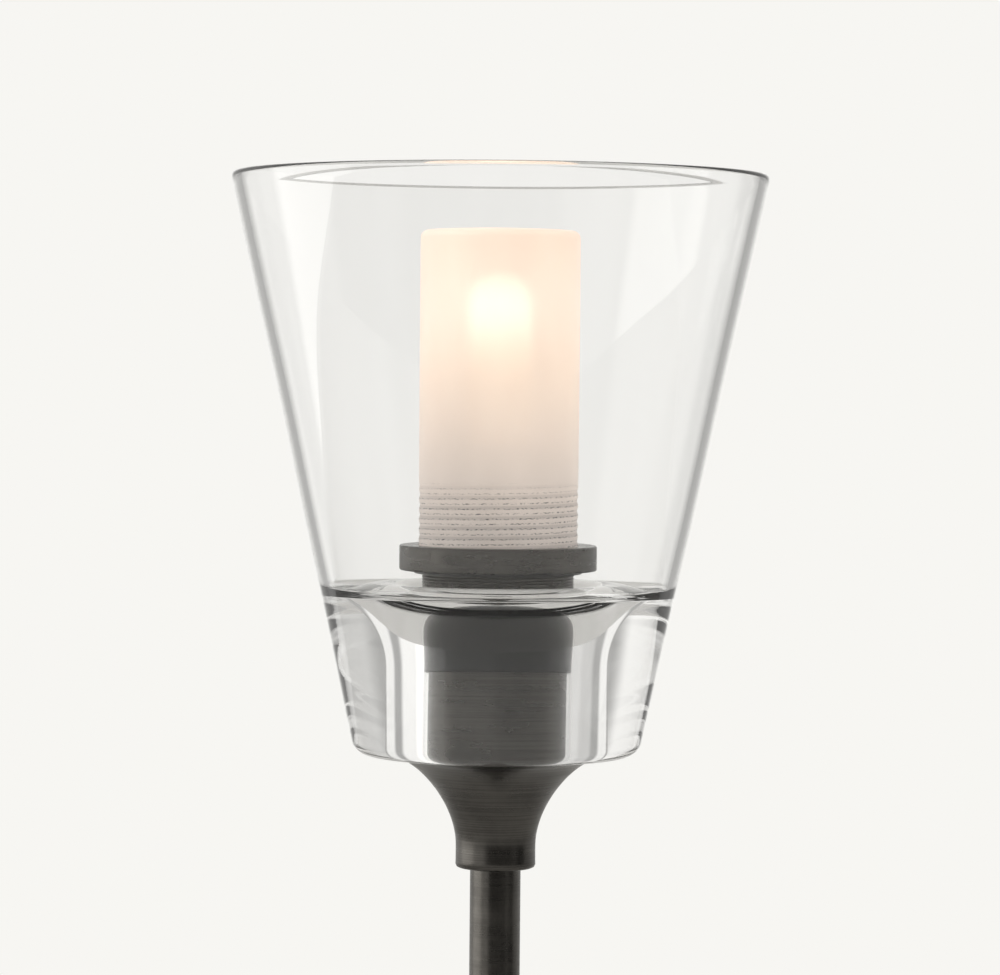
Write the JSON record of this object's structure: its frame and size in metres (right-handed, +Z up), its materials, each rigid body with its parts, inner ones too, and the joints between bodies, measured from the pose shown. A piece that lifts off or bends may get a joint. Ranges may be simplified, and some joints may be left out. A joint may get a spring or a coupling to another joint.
{
  "type": "garden torch",
  "caption": "Electric garden torch: flared clear glass shade with a solid base over a frosted diffuser, on a trumpet holder and slim pole with a ground plate and spike.",
  "frame": {"origin": "on the pole's axis at the ground line, level with the ground plate's underside", "axes": "+Z up along the pole, -Y towards the viewer, +X to the viewer's right; the cable gland faces +Y"},
  "size_m": [0.2684, 0.2684, 1.3949],
  "materials": {
    "clear_glass": "clear, polished, hand blown",
    "frosted_glass": "frosted, warm white",
    "bronze": "blackened satin, fine turning lines",
    "steel": "plain satin",
    "brass": "satin",
    "porcelain": "glazed ceramic",
    "rubber": "matte",
    "filament": "glowing",
    "lead_sheath": "matte"
  },
  "bodies": {
    "pole": {"ground_plate": "bronze", "base_cover": "steel", "cover_screw_1": "steel", "cover_screw_2": "steel", "cover_screw_3": "steel", "plate_set_screw": "steel", "spike_nut": "steel", "spike_stud": "steel", "ground_spike": "steel", "gland_body": "brass", "pole_lower": "bronze", "pole_spigot": "steel", "pole_upper": "bronze", "pole_top_bush": "brass", "shade_holder": "bronze", "holder_set_screw_1": "steel", "holder_set_screw_2": "steel", "holder_set_screw_3": "steel", "shade_seat_washer": "rubber", "centre_tube": "bronze", "tube_washer": "steel", "tube_locknut": "brass", "threaded_nipple": "brass", "lampholder_locknut": "brass", "lampholder_plate": "steel", "lampholder_body": "porcelain", "lampholder_screw_shell": "brass", "internal_lead": "lead_sheath"},
    "shade": {"glass_shade": "clear_glass"},
    "clamp_gasket": {"clamp_gasket": "rubber"},
    "clamp_sleeve": {"clamp_sleeve": "bronze"},
    "ring_washer": {"ring_washer": "rubber"},
    "diffuser_ring": {"diffuser_ring": "bronze"},
    "diffuser_seal": {"diffuser_seal": "rubber"},
    "diffuser": {"frosted_diffuser": "frosted_glass"},
    "holder_contact": {"lampholder_centre_contact": "brass"},
    "lamp": {"lamp_screw_cap": "brass", "lamp_foot_contact": "brass", "lamp_glass": "frosted_glass", "lamp_stem": "clear_glass", "lamp_filament": "filament"},
    "gland_seal": {"gland_seal": "rubber"},
    "gland_nut": {"gland_nut": "brass"}
  },
  "joints": [
    {"name": "shade_lift", "type": "slide", "parent": "pole", "child": "shade", "axis": [0, 0, 1], "range_m": [0, 0.26]},
    {"name": "clamp_turn", "type": "hinge", "parent": "shade", "child": "clamp_gasket", "pos_m": [0, 0, 0.9], "axis": [0, 0, 1], "range_deg": [0, 4320]},
    {"name": "clamp_rise", "type": "slide", "parent": "clamp_gasket", "child": "clamp_sleeve", "axis": [0, 0, 1], "range_m": [0, 0.024]},
    {"name": "ring_turn", "type": "hinge", "parent": "clamp_sleeve", "child": "ring_washer", "pos_m": [0, 0, 0.9], "axis": [0, 0, 1], "range_deg": [0, 1080]},
    {"name": "ring_rise", "type": "slide", "parent": "ring_washer", "child": "diffuser_ring", "axis": [0, 0, 1], "range_m": [0, 0.0045]},
    {"name": "diffuser_turn", "type": "hinge", "parent": "diffuser_ring", "child": "diffuser_seal", "pos_m": [0, 0, 0.9], "axis": [0, 0, 1], "range_deg": [0, 540]},
    {"name": "diffuser_rise", "type": "slide", "parent": "diffuser_seal", "child": "diffuser", "axis": [0, 0, 1], "range_m": [0, 0.0075]},
    {"name": "lamp_turn", "type": "hinge", "parent": "pole", "child": "holder_contact", "pos_m": [0, 0, 0.9], "axis": [0, 0, 1], "range_deg": [0, 1440]},
    {"name": "lamp_rise", "type": "slide", "parent": "holder_contact", "child": "lamp", "axis": [0, 0, 1], "range_m": [0, 0.01451]},
    {"name": "gland_turn", "type": "hinge", "parent": "pole", "child": "gland_seal", "pos_m": [0, 0.0384, 0.021], "axis": [0, 1, 0], "range_deg": [0, 720]},
    {"name": "gland_rise", "type": "slide", "parent": "gland_seal", "child": "gland_nut", "axis": [0, 1, 0], "range_m": [0, 0.003]}
  ],
  "couplings": [
    {"joint": "clamp_rise", "follows": "clamp_turn", "m_per_rad": 0.00031831},
    {"joint": "ring_rise", "follows": "ring_turn", "m_per_rad": 0.00023873},
    {"joint": "diffuser_rise", "follows": "diffuser_turn", "m_per_rad": 0.00079577},
    {"joint": "lamp_rise", "follows": "lamp_turn", "m_per_rad": 0.00057751},
    {"joint": "gland_rise", "follows": "gland_turn", "m_per_rad": 0.00023873}
  ]
}
